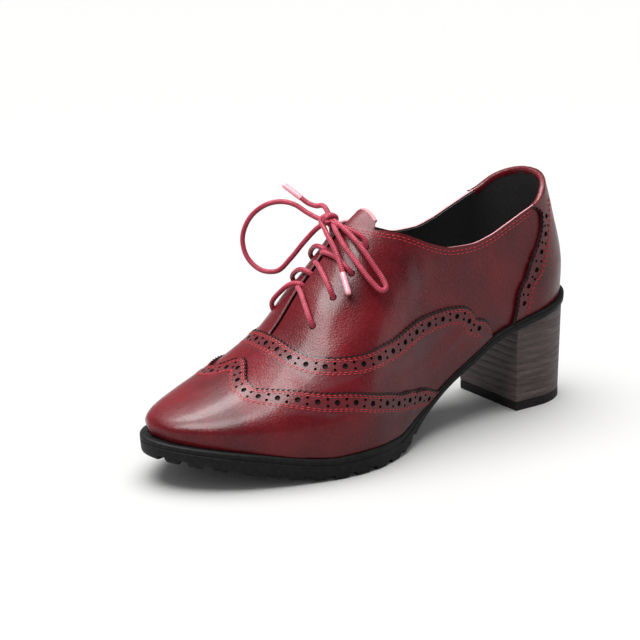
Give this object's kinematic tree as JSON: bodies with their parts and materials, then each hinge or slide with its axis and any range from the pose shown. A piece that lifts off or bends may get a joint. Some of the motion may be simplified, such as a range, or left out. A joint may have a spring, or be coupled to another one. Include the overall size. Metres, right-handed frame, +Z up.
{
  "type": "brogue pump",
  "caption": "Women's lace-up wing-tip brogue in burgundy leather on a stacked block heel, with a hollow upper, a lugged sole and a tied bow.",
  "frame": {"origin": "middle of the shoe's bounding box without its free cords, at the floor it stands on", "axes": "+X towards the toe, +Y towards the outer side of this left shoe, +Z up"},
  "size_m": [0.242, 0.0955, 0.1267],
  "materials": {
    "burgundy_leather": "polished",
    "tongue_leather": "satin",
    "lining_leather": "matte",
    "rubber": "matte",
    "heel_stack": "satin",
    "lace": "satin",
    "aglet": "gloss"
  },
  "bodies": {
    "root": {"outsole": "rubber", "heel": "heel_stack", "top_lift": "rubber", "insole": "lining_leather", "upper": "burgundy_leather", "vamp": "burgundy_leather", "wing_tip": "burgundy_leather", "counter": "burgundy_leather", "tongue": "tongue_leather", "lace_crossing_1": "lace", "lace_crossing_2": "lace", "lace_crossing_3": "lace", "lace_crossing_4": "lace", "lace_knot": "lace", "lace_loop_inner": "lace", "lace_loop_outer": "lace", "lace_end_inner": "lace", "lace_end_outer": "lace", "aglet_inner": "aglet", "aglet_outer": "aglet"}
  },
  "joints": []
}
